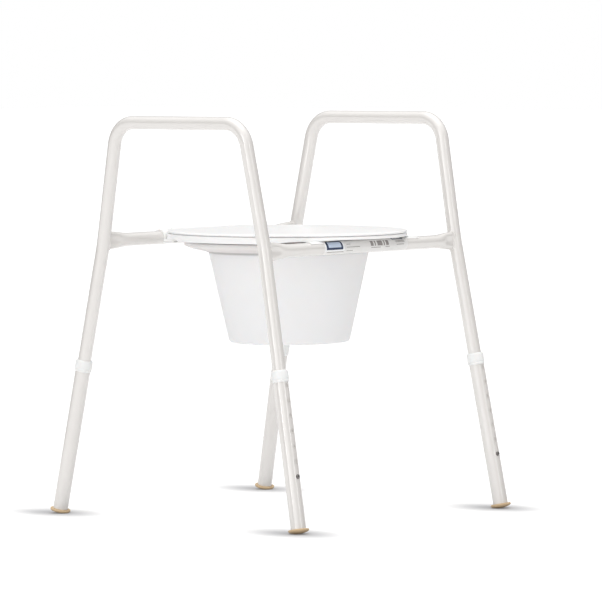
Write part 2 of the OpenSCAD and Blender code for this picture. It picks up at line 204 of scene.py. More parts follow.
FLOOR_HALF = 30
FLOOR_COLOUR = (0.80, 0.80, 0.80)
# painted shadows round the feet, which darken the floor's colour and glow
FOOT_SHADE_COLOUR = (0.36, 0.36, 0.37)
FOOT_SHADE_X = 0.085
FOOT_SHADE_Y = 0.14
FOOT_SHADE_BACK = 0.011
FLOOR_GLOW = 0.25
FLOOR_BOUNCE = 0.13


# ---------- places worked out from the sizes ----------


def knee_reach(end):
    """Distance of a knee from the arm bar's middle, along Y."""
    rise = (ARM_BAR_H - KNEE_H) / math.cos(math.radians(SPLAY))
    return ARM_BAR_L / 2 + rise * math.tan(math.radians(LEAN[end]))


def leg_length(end):
    """Length of a leg's centre line from the floor to the knee."""
    return KNEE_H / (math.cos(math.radians(LEAN[end])) * math.cos(math.radians(SPLAY)))


def leg_y(end, z):
    """Place of a leg's centre line along Y at height z, near the knee."""
    slope = math.tan(math.radians(LEAN[end]))
    return ARM_BAR_Y + ENDS[end] * (knee_reach(end) + (KNEE_H - z) * slope)


FRONT_RAIL_Y = leg_y("front", FRONT_RAIL_H)
REAR_RAIL_Y = leg_y("rear", REAR_RAIL_H)


# ---------- placing ----------


def shift(x, y, z):
    return Matrix.Translation((x, y, z))


def across(x, y, z):
    """Stands a side view up at a place: its x becomes +Y, its y +Z, and its depth runs along X."""
    return shift(x, y, z) @ turn(90, "Z") @ turn(90, "X")


def turn(degrees, axis):
    return Matrix.Rotation(math.radians(degrees), 4, axis)


def flip(x=1, y=1):
    return Matrix.Diagonal((x, y, 1, 1))


def on_leg(side, end):
    """Places on a leg what is modelled along +Z from the floor, with -Y pointing away from the seat."""
    mirror = flip(SIDES[side], -ENDS[end])
    lean = turn(-SPLAY, "Y") @ turn(-LEAN[end], "X")
    at_knee = shift(FRAME_W / 2, -knee_reach(end), KNEE_H)
    return shift(0, ARM_BAR_Y, 0) @ mirror @ at_knee @ lean @ shift(0, 0, -leg_length(end))


# ---------- shapes: each is a pair of (points in millimetres, faces) ----------


def moved(shape, matrix):
    points, faces = shape
    m = np.array(matrix)
    return points @ m[:3, :3].T + m[:3, 3], faces


def joined(*shapes):
    points, faces, start = [], [], 0
    for p, f in shapes:
        points.append(p)
        faces += [[i + start for i in face] for face in f]
        start += len(p)
    return np.vstack(points), faces


def loft(rings, closed=False):
    """Skin through rings of equal length; its ends are capped, or joined to each other if closed."""
    n, count = len(rings[0]), len(rings)
    faces = []
    for k in range(count if closed else count - 1):
        a, b = k * n, ((k + 1) % count) * n
        faces += [[a + i, a + (i + 1) % n, b + (i + 1) % n, b + i] for i in range(n)]
    if not closed:
        faces.append(list(range(n))[::-1])
        faces.append([(count - 1) * n + i for i in range(n)])
    return np.vstack([np.asarray(r, float) for r in rings]), faces


def revolve(profile, n=64):
    """Turns a closed profile of (radius, height) round Z."""
    angles = np.arange(n) * 2 * math.pi / n
    rings = []
    for radius, z in profile:
        ring = [np.cos(angles) * radius, np.sin(angles) * radius, np.full(n, float(z))]
        rings.append(np.stack(ring, 1))
    return loft(rings, closed=True)


def sweep(path, radius, n=40, bore=None):
    """A round bar or tube along a path of points."""
    path = [Vector(p) for p in path]
    tangents = []
    for i, p in enumerate(path):
        ahead = path[min(i + 1, len(path) - 1)] - path[max(i - 1, 0)]
        tangents.append(ahead.normalized())
    across = tangents[0].orthogonal().normalized()
    outer, inner = [], []
    for i, p in enumerate(path):
        if i:
            across = tangents[i - 1].rotation_difference(tangents[i]) @ across
        other = tangents[i].cross(across)
        circle = [across * math.cos(a) + other * math.sin(a)
                  for a in (2 * math.pi * k / n for k in range(n))]
        outer.append([p + c * radius for c in circle])
        if bore:
            inner.append([p + c * bore for c in circle])
    if bore:
        return loft(outer + inner[::-1], closed=True)
    return loft(outer)


def prism(outline, depth):
    """A closed 2D outline (x, y) extruded along Z, centred on z = 0."""
    outline = np.asarray(outline, float)
    rings = [np.column_stack([outline, np.full(len(outline), z)]) for z in (-depth / 2, depth / 2)]
    return loft(rings)


def arc(radius, start, end, steps, centre=(0, 0)):
    """Points on an arc between two angles in degrees."""
    out = []
    for k in range(steps + 1):
        a = math.radians(start + (end - start) * k / steps)
        out.append((centre[0] + radius * math.cos(a), centre[1] + radius * math.sin(a)))
    return out


def smooth_step(t):
    t = min(max(t, 0.0), 1.0)
    return t * t * (3 - 2 * t)


# ---------- objects ----------


def mesh_object(name, shape):
    points, faces = shape
    mesh = bpy.data.meshes.new(name)
    mesh.from_pydata([tuple(p * MM) for p in np.asarray(points)], [], faces)
    bm = bmesh.new()
    bm.from_mesh(mesh)
    bmesh.ops.remove_doubles(bm, verts=bm.verts, dist=1e-6)
    bmesh.ops.dissolve_degenerate(bm, edges=bm.edges, dist=1e-7)
    bmesh.ops.recalc_face_normals(bm, faces=bm.faces)
    bm.to_mesh(mesh)
    bm.free()
    obj = bpy.data.objects.new(name, mesh)
    bpy.context.scene.collection.objects.link(obj)
    return obj


def apply_modifiers(obj):
    depsgraph = bpy.context.evaluated_depsgraph_get()
    mesh = bpy.data.meshes.new_from_object(obj.evaluated_get(depsgraph))
    obj.modifiers.clear()
    old = obj.data
    obj.data = mesh
    bpy.data.meshes.remove(old)


def cut(obj, shape):
    """Cuts a closed shape out of an object."""
    tool = mesh_object("cutter", shape)
    modifier = obj.modifiers.new("cut", "BOOLEAN")
    modifier.operation = "DIFFERENCE"
    modifier.solver = "EXACT"
    modifier.object = tool
    bpy.context.view_layer.update()
    apply_modifiers(obj)
    bpy.data.objects.remove(tool)


def round_edges(obj, width, segments=3, angle=30):
    modifier = obj.modifiers.new("round", "BEVEL")
    modifier.width = width * MM
    modifier.segments = segments
    modifier.limit_method = "ANGLE"
    modifier.angle_limit = math.radians(angle)
    modifier.harden_normals = False
    bpy.context.view_layer.update()
    apply_modifiers(obj)


def piece(name, shape, body, slot, nodes=(), cuts=None, bevel=0, sharp=38, paint=None):
    """Makes one finished piece: cut, bevelled, shaded, painted, and riding on its body.
    The paint is the slot's own material unless another is named."""
    obj = mesh_object(name, shape)
    if cuts:
        cut(obj, cuts)
    if bevel:
        round_edges(obj, bevel)
    obj.data.polygons.foreach_set("use_smooth", [True] * len(obj.data.polygons))
    obj.data.set_sharp_from_angle(angle=math.radians(sharp))
    obj.data.materials.clear()
    obj.data.materials.append(MATERIALS[paint or slot])
    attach(obj, body)
    if nodes:
        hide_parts(*nodes)
    return obj


# ---------- materials ----------


def maths(tree, operation, a, b):
    """A math node in a tree; a and b are sockets or numbers."""
    node = tree.nodes.new("ShaderNodeMath")
    node.operation = operation
    for k, value in enumerate((a, b)):
        if isinstance(value, bpy.types.NodeSocket):
            tree.links.new(value, node.inputs[k])
        else:
            node.inputs[k].default_value = value
    return node.outputs[0]


class Nodes:
    """A short way to write a node tree."""

    def __init__(self, name):
        self.material = bpy.data.materials.new(name)
        self.material.use_nodes = True
        self.tree = self.material.node_tree
        self.shader = self.tree.nodes["Principled BSDF"]
        coordinates = self.tree.nodes.new("ShaderNodeTexCoord")
        self.place = coordinates.outputs["Object"]

    def add(self, kind, **values):
        node = self.tree.nodes.new(kind)
        for key, value in values.items():
            if isinstance(value, bpy.types.NodeSocket):
                self.tree.links.new(value, node.inputs[key])
            else:
                node.inputs[key].default_value = value
        return node

    def noise(self, scale, detail=2.0, roughness=0.5):
        node = self.add("ShaderNodeTexNoise", Vector=self.place, Scale=scale,
                        Detail=detail, Roughness=roughness)
        return node.outputs[0]

    def between(self, factor, low, high):
        """Maps a 0..1 value, stretched about its middle, to low..high."""
        node = self.tree.nodes.new("ShaderNodeMapRange")
        self.tree.links.new(factor, node.inputs["Value"])
        node.inputs["From Min"].default_value = 0.3
        node.inputs["From Max"].default_value = 0.7
        node.inputs["To Min"].default_value = low
        node.inputs["To Max"].default_value = high
        return node.outputs["Result"]

    def mix(self, factor, a, b):
        node = self.tree.nodes.new("ShaderNodeMix")
        node.data_type = "RGBA"
        colour_a, colour_b = node.inputs[6], node.inputs[7]
        self.tree.links.new(factor, node.inputs[0])
        colour_a.default_value = (*a, 1)
        colour_b.default_value = (*b, 1)
        return node.outputs[2]

    def bump(self, height, strength, distance, under=None):
        node = self.tree.nodes.new("ShaderNodeBump")
        node.inputs["Strength"].default_value = strength
        node.inputs["Distance"].default_value = distance * MM
        self.tree.links.new(height, node.inputs["Height"])
        if under:
            self.tree.links.new(under, node.inputs["Normal"])
        return node.outputs["Normal"]

    def set(self, key, value):
        if isinstance(value, bpy.types.NodeSocket):
            self.tree.links.new(value, self.shader.inputs[key])
        else:
            self.shader.inputs[key].default_value = value


COAT_IOR = 2.1
SCATTER_DEPTH = (4 * MM, 3 * MM, 2.5 * MM)


def shade(colour, factor):
    return tuple(c * factor for c in colour)


def surface(name, colour, rough, wave, grain, mottle=0.02, metallic=0.0, coat=0.0,
            coat_rough=0.15, scatter=0.0, specular=0.5):
    """A material with mottled colour, uneven gloss, a broad wave and a fine grain.
    rough is (low, high); wave and grain are (features per metre, strength, height in millimetres)."""
    n = Nodes(name)
    n.set("Base Color", n.mix(n.noise(35, 3), shade(colour, 1 - mottle), shade(colour, 1 + mottle)))
    n.set("Roughness", n.between(n.noise(110, 3), *rough))
    n.set("Metallic", metallic)
    n.set("Specular IOR Level", specular)
    n.set("Coat Weight", coat)
    n.set("Coat Roughness", coat_rough)
    n.set("Coat IOR", COAT_IOR)
    if scatter:
        n.set("Subsurface Weight", scatter)
        n.set("Subsurface Radius", SCATTER_DEPTH)
        n.set("Subsurface Scale", 1.0)
    broad = n.bump(n.noise(wave[0], 1), wave[1], wave[2])
    n.set("Normal", n.bump(n.noise(grain[0], 2), grain[1], grain[2], broad))
    return n.material


# painted shade, in tones matched to the photo: a dark line where the ears shade the fold under them,
# darker ears whose undersides face down into shade, and a little darker toward the bottom
PAN_PAINTED_SHADE = [(290, (0.97, 0.97, 0.97)), (443, (1.0, 1.0, 1.0)), (446.2, (0.55, 0.54, 0.53)),
             (447.6, (0.55, 0.54, 0.53)), (449, (0.78, 0.755, 0.74)), (458, (0.88, 0.86, 0.84)),
             (465, (0.95, 0.93, 0.92))]


def paint_shade_by_height(material, bands):
    """Paints shade into a material's colour: multiplies it by tones blended between heights: [(height in
    mm, tone), ...].
    """
    tree = material.node_tree
    shader = tree.nodes["Principled BSDF"]
    colour = shader.inputs["Base Color"].links[0].from_socket
    split = tree.nodes.new("ShaderNodeSeparateXYZ")
    place = tree.nodes.new("ShaderNodeTexCoord")
    tree.links.new(place.outputs["Object"], split.inputs[0])
    low, high = bands[0][0], bands[-1][0]
    above_low = maths(tree, "SUBTRACT", split.outputs["Z"], low * MM)
    share = maths(tree, "DIVIDE", above_low, (high - low) * MM)
    ramp = tree.nodes.new("ShaderNodeValToRGB")
    tree.links.new(share, ramp.inputs[0])
    stops = ramp.color_ramp.elements
    while len(stops) < len(bands):
        stops.new(0.5)
    for stop, (height, tone) in zip(stops, bands):
        stop.position = (height - low) / (high - low)
        stop.color = (*tone, 1)
    product = tree.nodes.new("ShaderNodeMix")
    product.data_type = "RGBA"
    product.blend_type = "MULTIPLY"
    product.inputs[0].default_value = 1.0
    tree.links.new(colour, product.inputs[6])
    tree.links.new(ramp.outputs["Color"], product.inputs[7])
    tree.links.new(product.outputs[2], shader.inputs["Base Color"])


def moulded(name, colour, rough, wave, grain, mottle, scatter):
    """A matt plastic or pale rubber that lets a little light in."""
    return surface(name, colour, rough, wave, grain, mottle, scatter=scatter)


def metal(name, colour, rough, wave, grain, mottle):
    return surface(name, colour, rough, wave, grain, mottle, metallic=1.0)


def ink(name, colour, mottle, rough=(0.3, 0.4), coat=0.3, specular=0.15):
    """Print on the label's film."""
    wave, grain = (120, 0.1, 0.02), (1500, 0.1, 0.01)
    return surface(name, colour, rough, wave, grain, mottle, coat=coat, specular=specular)


def make_materials():
    paint = surface("powder_coat", (0.775, 0.75, 0.725), (0.30, 0.42), (420, 0.25, 0.05),
                    (1700, 0.18, 0.02), 0.012, coat=1.0, coat_rough=0.05)
    seat = moulded("seat_plastic", (0.945, 0.94, 0.94), (0.36, 0.46), (60, 0.12, 0.15),
                   (2400, 0.2, 0.015), 0.008, 0.15)
    clip = moulded("clip_plastic", (0.90, 0.895, 0.885), (0.38, 0.5), (80, 0.1, 0.1),
                   (2400, 0.2, 0.015), 0.01, 0.1)
    pan = moulded("pan_plastic", (0.915, 0.908, 0.915), (0.42, 0.55), (30, 0.15, 0.4),
                  (2000, 0.25, 0.02), 0.01, 0.25)
    collar = moulded("collar_plastic", (0.88, 0.88, 0.872), (0.34, 0.46), (150, 0.1, 0.05),
                     (2600, 0.2, 0.015), 0.01, 0.15)
    buffer = moulded("buffer_rubber", (0.75, 0.75, 0.74), (0.5, 0.7), (200, 0.2, 0.05),
                     (2000, 0.3, 0.02), 0.03, 0.2)
    tip = surface("tip_rubber", (0.64, 0.475, 0.29), (0.6, 0.8), (260, 0.4, 0.15),
                  (1500, 0.5, 0.05), 0.12, specular=0.35)
    button = metal("button_steel", (0.20, 0.185, 0.18), (0.15, 0.25), (500, 0.1, 0.02),
                   (4000, 0.15, 0.01), 0.03)
    spring = metal("spring_steel", (0.5, 0.5, 0.5), (0.25, 0.4), (300, 0.1, 0.02),
                   (4000, 0.2, 0.01), 0.05)
    film = surface("label_film", (0.80, 0.79, 0.775), (0.3, 0.38), (120, 0.1, 0.03),
                   (1500, 0.1, 0.01), 0.01, coat=0.3, coat_rough=0.2)
    return {
        "frame_paint": paint,
        "seat_plastic": seat,
        "clip_plastic": clip,
        "pan_plastic": pan,
        "collar_plastic": collar,
        "tip_rubber": tip,
        "button_steel": button,
        "spring_steel": spring,
        "label_film": film,
        "buffer_rubber": buffer,
        "label_white": ink("label_white", (0.93, 0.94, 0.96), 0.01, specular=0.5),
        "label_navy": ink("label_navy", (0.012, 0.028, 0.085), 0.05),
        "label_pale": ink("label_pale", (0.60, 0.69, 0.84), 0.03),
        "label_grey": ink("label_grey", (0.30, 0.28, 0.27), 0.1, rough=(0.4, 0.5), coat=0.2),
    }


MATERIALS = make_materials()
# paints shade into the pan's colour: the dark line in the fold under the ears, and the darker ears
paint_shade_by_height(MATERIALS["pan_plastic"], PAN_PAINTED_SHADE)


# ---------- side frames and rails ----------


def corner(a, b, c, radius, steps):
    """Points of a rounded corner at b on the way from a to c."""
    a, b, c = Vector(a), Vector(b), Vector(c)
    to_a, to_c = (a - b).normalized(), (c - b).normalized()
    half = to_a.angle(to_c) / 2
    centre = b + (to_a + to_c).normalized() * (radius / math.sin(half))
    start = b + to_a * (radius / math.tan(half)) - centre
    sweep_angle = math.pi - 2 * half
    axis = to_a.cross(to_c).normalized()
    return [centre + Matrix.Rotation(-sweep_angle * k / steps, 3, axis) @ start
            for k in range(steps + 1)]


def side_path():
    """The left side frame's centre line, from the front leg's lower end to the rear leg's."""
    ends = {}
    for end in ENDS:
        foot = on_leg("left", end)
        ends[end] = (foot @ Vector((0, 0, INNER_END)), foot @ Vector((0, 0, leg_length(end))))
    top_x = FRAME_W / 2 + (ARM_BAR_H - KNEE_H) * math.tan(math.radians(SPLAY))
    tops = {end: Vector((top_x, ARM_BAR_Y + ENDS[end] * ARM_BAR_L / 2, ARM_BAR_H)) for end in ENDS}
    low_f, knee_f = ends["front"]
    low_r, knee_r = ends["rear"]
    path = [low_f]
    path += corner(low_f, knee_f, tops["front"], KNEE_R, KNEE_STEPS)
    path += corner(knee_f, tops["front"], tops["rear"], BEND_R, BEND_STEPS)
    path += corner(tops["front"], tops["rear"], knee_r, BEND_R, BEND_STEPS)
    path += corner(tops["rear"], knee_r, low_r, KNEE_R, KNEE_STEPS)
    path.append(low_r)
    return path


def with_stations(path, step):
    """The path with extra points on its long straight stretches."""
    out = [path[0]]
    for p in path[1:]:
        gap = (p - out[-1]).length
        count = max(int(gap // step), 1)
        start = out[-1]
        out += [start.lerp(p, k / count) for k in range(1, count + 1)]
    return out


def button_cutter(side, end, radius, places):
    """Rods that cut the button's holes at places along a leg."""
    reach = HOLE_CUT_REACH
    rods = []
    for s in places:
        rod = moved(revolve([(0, 0), (radius, 0), (radius, reach), (0, reach)], 32), turn(90, "X"))
        rods.append(moved(rod, on_leg(side, end) @ shift(0, 0, s)))
    return joined(*rods)


def make_side_frames():
    path = with_stations(side_path(), STATION_GAP)
    tube = sweep(path, TUBE_R, 48, BORE_R)
    holes = [button_cutter("left", end, BUTTON_R + TUBE_HOLE_PLAY, [BUTTON_S]) for end in ENDS]
    for side, sign in SIDES.items():
        mirror = flip(x=sign)
        piece("side_frame_tube_" + side, moved(tube, mirror), "frame", "frame_paint",
              ["side_frame_" + side], cuts=moved(joined(*holes), mirror))


def rail_section(x):
    """Outline of a rail at distance x from its middle: round, then pressed flat and tall at the leg."""
    flare_l = RAIL_END_X - RAIL_FLARE_LEAD - RAIL_FLARE_START
    t = smooth_step((abs(x) - RAIL_FLARE_START) / flare_l)
    half_h = TUBE_R + (RAIL_END_H / 2 - TUBE_R) * t
    half_t = TUBE_R + (RAIL_END_T / 2 - TUBE_R) * t
    dimple = RAIL_DIMPLE * smooth_step((t - 0.35) / 0.5)
    power = 1 - RAIL_SQUARENESS * t
    ring = []
    for k in range(RAIL_FACETS):
        a = 2 * math.pi * k / RAIL_FACETS
        c, s = math.cos(a), math.sin(a)
        y = half_t * math.copysign(abs(c) ** power, c)
        z = half_h * math.copysign(abs(s) ** power, s)
        y -= math.copysign(dimple * math.exp(-((z / RAIL_DIMPLE_H) ** 2)), c) * min(abs(y) / 2, 1)
        ring.append((x, y, z))
    return ring


def weld_bead(end, z):
    """A rippled bead round a pressed rail end where it meets the left leg."""
    outline = rail_section(RAIL_END_X)
    knee = Vector((FRAME_W / 2, ARM_BAR_Y + ENDS[end] * knee_reach(end), KNEE_H))
    base = Vector((0, leg_y(end, z), z))
    path = []
    for k in range(BEAD_POINTS):
        along = k * len(outline) / BEAD_POINTS
        _, y, dz = outline[int(along) % len(outline)]
        _, next_y, next_dz = outline[(int(along) + 1) % len(outline)]
        y += (next_y - y) * (along % 1)
        dz += (next_dz - dz) * (along % 1)
        point = base + Vector((0, y * 1.04, dz * 1.03))
        up = 1 if point.z > KNEE_H else -1
        lean = math.tan(math.radians(LEAN[end]))
        axis = Vector((math.tan(math.radians(SPLAY)), -up * ENDS[end] * lean, up)).normalized()
        path.append(on_cylinder(point, knee, axis))
    return ring_sweep(path, BEAD_R, BEAD_RIPPLE, BEAD_RIPPLES)


def on_cylinder(point, origin, axis):
    """The point, moved along X onto the inner side of the leg's tube."""
    across = Vector((1, 0, 0)) - axis * axis.x
    offset = point - origin
    offset.x = 0
    flat = offset - axis * offset.dot(axis)
    a = across.dot(across)
    b = 2 * across.dot(flat)
    c = flat.dot(flat) - TUBE_R**2
    root = math.sqrt(max(b * b - 4 * a * c, 0))
    return Vector((origin.x + (-b - root) / (2 * a), point.y, point.z))


def ring_sweep(path, radius, ripple, ripples, n=10):
    """A closed ring of bead through the points, with its thickness rippled."""
    rings = []
    count = len(path)
    centre = sum(path, Vector()) / count
    for k, p in enumerate(path):
        tangent = (path[(k + 1) % count] - path[k - 1]).normalized()
        out = p - centre
        out = (out - tangent * out.dot(tangent)).normalized()
        side = tangent.cross(out)
        r = radius * (1 + ripple * math.sin(k * 2 * math.pi * ripples / count))
        rings.append([p + out * r * math.cos(a) + side * r * math.sin(a)
                      for a in (2 * math.pi * i / n for i in range(n))])
    return loft(rings, closed=True)


def make_rails():
    stations = list(np.linspace(-RAIL_END_X, -RAIL_FLARE_START, 22))
    stations += list(np.linspace(-RAIL_FLARE_START, RAIL_FLARE_START, 14))[1:-1]
    stations += list(np.linspace(RAIL_FLARE_START, RAIL_END_X, 22))
    shape = loft([rail_section(x) for x in stations])
    for end, y, z in (("front", FRONT_RAIL_Y, FRONT_RAIL_H), ("rear", REAR_RAIL_Y, REAR_RAIL_H)):
        piece(end + "_cross_rail", moved(shape, shift(0, y, z)), "frame", "frame_paint",
              [end + "_rail"], sharp=60)
        bead = weld_bead(end, z)
        both = joined(bead, moved(bead, flip(x=-1)))
        piece("weld_beads_" + end, both, "frame", "frame_paint", sharp=80)


# ---------- label ----------
# x is in millimetres; angles are in degrees from the rail's top toward the front.


def wrap_patch(x0, x1, from_top, to_top, low=0.02, high=0.14):
    """A thin patch wrapped on the front rail, between two angles from its top toward the front."""
    steps = max(int((to_top - from_top) / 4), 2)
    rings = []
    for x in (x0, x1):
        outer = arc(TUBE_R + high, from_top, to_top, steps)
        inner = arc(TUBE_R + low, to_top, from_top, steps)
        rings.append([(x, FRONT_RAIL_Y - s, FRONT_RAIL_H + c) for c, s in outer + inner])
    return loft(rings)


def bars(x, widths, from_top, to_top):
    """A row of upright bars; widths alternates bar and gap."""
    out = []
    for k, width in enumerate(widths):
        if k % 2 == 0:
            out.append(wrap_patch(x, x + width, from_top, to_top, 0.14, 0.2))
        x += width
    return out


def rows(x0, x1, angles):
    """Plain thin strips that stand for small print."""
    return [wrap_patch(x0, x1, a, a + 5, 0.14, 0.2) for a in angles]


def make_label():
    film = joined(wrap_patch(-101, 101, 8, 150), wrap_patch(-106, 105, 50, 150, 0.03, 0.12))
    piece("rail_label_film", film, "frame", "label_film", ["rail_label"])
    panel = [wrap_patch(-101.8, -57, 6, 116, 0.1, 0.2), wrap_patch(-105, -101.8, 48, 116, 0.1, 0.2)]
    piece("rail_label_panel", joined(*panel), "frame", "label_film", paint="label_white")
    navy = joined(wrap_patch(-101.6, -60.5, 10, 103, 0.15, 0.26), *mark_outline())
    piece("rail_label_navy", navy, "frame", "label_film", paint="label_navy")
    pale = wrap_patch(-96.5, -65, 28, 84, 0.2, 0.32)
    piece("rail_label_pale", pale, "frame", "label_film", paint="label_pale")
    marks = bars(10, [7, 3, 3, 4, 13, 3, 3, 3, 7], 42, 88)
    marks += rows(-51, -41, [58]) + rows(-51, -18, [84]) + rows(-51, -35, [116])
    marks += rows(-99, -58, [122]) + rows(11, 35, [100]) + rows(47, 58, [98])
    marks += rows(74, 97, [54, 64]) + rows(76, 95, [85])
    piece("rail_label_print", joined(*marks), "frame", "label_film", paint="label_grey")


def mark_outline():
    """The small navy frame near the label's right end."""
    return [wrap_patch(68, 96, 30, 40, 0.14, 0.24), wrap_patch(68, 71, 10, 30, 0.14, 0.24),
            wrap_patch(93, 96, 10, 30, 0.14, 0.24)]


# ---------- legs ----------


def make_legs():
    for end in ENDS:
        for side in SIDES:
            leg = f"{end}_{side}"
            place = on_leg(side, end)
            body = "leg_" + leg
            make_sleeve(side, end, leg, place, body)
            piece("collar_" + leg, moved(collar_shape(), place), body, "collar_plastic",
                  ["leg_collar_" + leg], sharp=50)
            piece("rubber_tip_" + leg, tip_shape(place, end), body, "tip_rubber",
                  ["foot_tip_" + leg])
            press = place @ shift(0, 0, BUTTON_S) @ turn(90, "X")
            piece("push_button_" + leg, moved(button_shape(), press), "button_" + leg, "button_steel",
                  ["snap_button_" + leg])


def make_sleeve(side, end, leg, place, body):
    wall = revolve([(SLEEVE_BORE_R, SLEEVE_BOTTOM), (SLEEVE_R - 0.3, SLEEVE_BOTTOM),
                    (SLEEVE_R, SLEEVE_BOTTOM + 0.3), (SLEEVE_R, SLEEVE_TOP),
                    (SLEEVE_BORE_R, SLEEVE_TOP)], 64)
    places = [BUTTON_S + k * HOLE_PITCH for k in range(HOLE_COUNT)]
    holes = button_cutter(side, end, BUTTON_R + SLEEVE_HOLE_PLAY, places)
    piece("sleeve_" + leg, moved(wall, place), body, "frame_paint", ["leg_sleeve_" + leg],
          cuts=holes, sharp=30)


def collar_shape():
    """The collar: a cap with a bevelled shoulder, and a ring groove near its lower end."""
    r, top, low = COLLAR_R, COLLAR_TOP, COLLAR_BOTTOM
    inner = TUBE_R + RING_PLAY
    seat = SLEEVE_R + TOUCH
    ledge = SLEEVE_TOP + TOUCH
    return revolve([
        (inner, ledge), (inner, top - 0.4), (inner + 0.4, top), (r - 1.9, top),
        (r - 1.5, top - 0.3), (r - 1.15, top - 1.2), (r - 0.75, top - 1.9), (r - 0.42, top - 2.4),
        (r - 0.3, top - 3.4), (r - 0.12, top - 7), (r, low + 8), (r, low + 6.2),
        (r - 0.15, low + 5.4), (r - 0.5, low + 4.9), (r - 0.75, low + 4.4), (r - 0.7, low + 3.8),
        (r - 0.45, low + 3.3), (r - 0.42, low + 1.4), (r - 0.6, low + 0.5), (r - 1.0, low),
        (seat, low), (seat, ledge)], 72)


def tip_shape(place, end):
    """The rubber tip, with its crowned sole cut flat by the floor."""
    tilt = math.cos(math.radians(LEAN[end])) * math.cos(math.radians(SPLAY))
    crown = (TIP_CROWN_R - TIP_SINK) / tilt
    top = SLEEVE_BOTTOM - TOUCH
    sole = [(r, crown - math.sqrt(TIP_CROWN_R**2 - r**2)) for r in (0, 4, 8, 12, 15, 16)]
    rim = [(TIP_R - 0.5, 4.6), (TIP_R, 5.5), (TIP_R, 6.7), (TIP_R - 0.5, 7.5), (TIP_R - 1.4, top)]
    plug = [(TIP_PLUG_R, top), (TIP_PLUG_R, TIP_PLUG_TOP - 2), (TIP_PLUG_R - 0.75, TIP_PLUG_TOP),
            (0, TIP_PLUG_TOP)]
    points, faces = moved(revolve(sole + rim + plug, 72), place)
    points[:, 2] = np.maximum(points[:, 2], 0)
    return points, faces


def button_shape():
    """The snap button along +Z, with a domed head and a foot that keeps it in."""
    shoulder = SLEEVE_R + BUTTON_PROUD - BUTTON_DOME
    low = BUTTON_FOOT
    flange = BUTTON_R + 0.8
    profile = [(0, low), (flange - 0.1, low), (flange, low + 0.1), (flange, low + 1),
               (BUTTON_R, low + 1), (BUTTON_R, shoulder)]
    dome = [(BUTTON_R * math.cos(a), shoulder + BUTTON_DOME * math.sin(a))
            for a in (math.radians(d) for d in (15, 30, 45, 60, 75, 90))]
    return revolve(profile + dome, 48)


# ---------- seat, lid and what is fixed to them ----------


def oval_ring(inset, z):
    """The seat's oval, longer to the rear than to the front, moved inward."""
    ring = []
    for k in range(OVAL_POINTS):
        a = 2 * math.pi * k / OVAL_POINTS
        reach = SEAT_FRONT if math.sin(a) < 0 else SEAT_REAR
        x = (SEAT_A - inset) * math.cos(a)
        y = SEAT_Y + (reach - inset) * math.sin(a)
        ring.append((x, y, z))
    return ring


def flat_back(ring, back, soft=4):
    """Pulls a ring's points that lie behind the plane y = back onto it, rounding the corner."""
    out = []
    for x, y, z in ring:
        over = (y - back) / soft
        if over > -1:
            y = back - soft * (1 - min(over + 1, 2) / 2) ** 2 if over < 1 else back
        out.append((x, y, z))
    return out


def make_lid():
    """The lid's shell, whose rear edge is drawn forward as its rings go inward, and its two lugs."""
    skin, under = [], []
    for inset, z in LID_SKIN:
        back = LID_BACK - min(inset, LID_DRAW_SPAN) * LID_DRAW
        skin.append(flat_back(oval_ring(inset, z), back))
    for inset, z in LID_UNDER:
        drawn = max(min(inset, LID_DRAW_SPAN) - LID_UNDER_EDGE, 0)
        back = LID_BACK - LID_BACK_WALL - drawn * LID_DRAW
        under.append(flat_back(oval_ring(inset, z), back))
    piece("lid_shell", loft(skin[::-1] + under[::-1]), "lid", "seat_plastic", ["lid"], sharp=60)
    for side, sign in SIDES.items():
        place = across(sign * LUG_X, REAR_RAIL_Y, REAR_RAIL_H)
        piece("lid_lug_" + side, moved(prism(lug_outline(), LUG_W), place), "lid", "seat_plastic",
              bevel=0.7)


def lug_outline():
    """Side view of a lid lug: an open ring round the rail, and an arm to the lid."""
    outer, inner = TUBE_R + LUG_WALL, TUBE_R + RING_PLAY
    ring = arc(outer, -90 + RING_MOUTH, 90 + LUG_ARM_SPAN[0], 40)
    arm_low, arm_top = LUG_ARM
    arm_y = LID_BACK - REAR_RAIL_Y - 1.0
    arm = [(arm_y, arm_top), (arm_y, arm_low)]
    back = arc(outer, 90 + LUG_ARM_SPAN[1], 270 - RING_MOUTH, 16)
    bore = arc(inner, 270 - RING_MOUTH, -90 + RING_MOUTH, 60)
    return ring + arm + back + bore


def make_seat():
    smooth_copy("seat_ring", "seat_ring_shell", "seat", "seat_plastic", cuts=rear_reliefs())
    for side, sign in SIDES.items():
        place = across(sign * CLIP_X, REAR_RAIL_Y, REAR_RAIL_H)
        piece("rail_clip_" + side, moved(prism(clip_outline(), CLIP_W), place), "seat",
              "clip_plastic", ["seat_clip_" + side], bevel=0.6)
        piece("rail_saddle_" + side, saddle_shape(sign), "seat",
              "clip_plastic", ["seat_saddle_" + side], bevel=0.35)


def clip_outline():
    """Side view of a seat clip: an open ring round the rail, and an arm screwed under the seat."""
    outer, inner = TUBE_R + CLIP_WALL, TUBE_R + RING_PLAY
    arm_top = SEAT_BOTTOM - TOUCH - REAR_RAIL_H
    arm_end = SEAT_BACK_Y - CLIP_ARM_REACH - REAR_RAIL_Y
    ring = arc(outer, -90 + RING_MOUTH, 90 + CLIP_ARM_SPAN[0], 60)
    arm = [(arm_end, arm_top), (arm_end, arm_top - CLIP_ARM_T)]
    back = arc(outer, 90 + CLIP_ARM_SPAN[1], 270 - RING_MOUTH, 12)
    bore = arc(inner, 270 - RING_MOUTH, -90 + RING_MOUTH, 60)
    return ring + arm + back + bore


def saddle_shape(sign):
    """A thin pad bent over the front rail, on which the seat rests."""
    low, high = 90 - SADDLE_HALF_ANGLE, 90 + SADDLE_HALF_ANGLE
    outer = arc(TUBE_R + SADDLE_WALL, low, high, 24)
    inner = arc(TUBE_R + RING_PLAY, high, low, 24)
    return moved(prism(outer + inner, SADDLE_W), across(sign * SADDLE_X, FRONT_RAIL_Y, FRONT_RAIL_H))


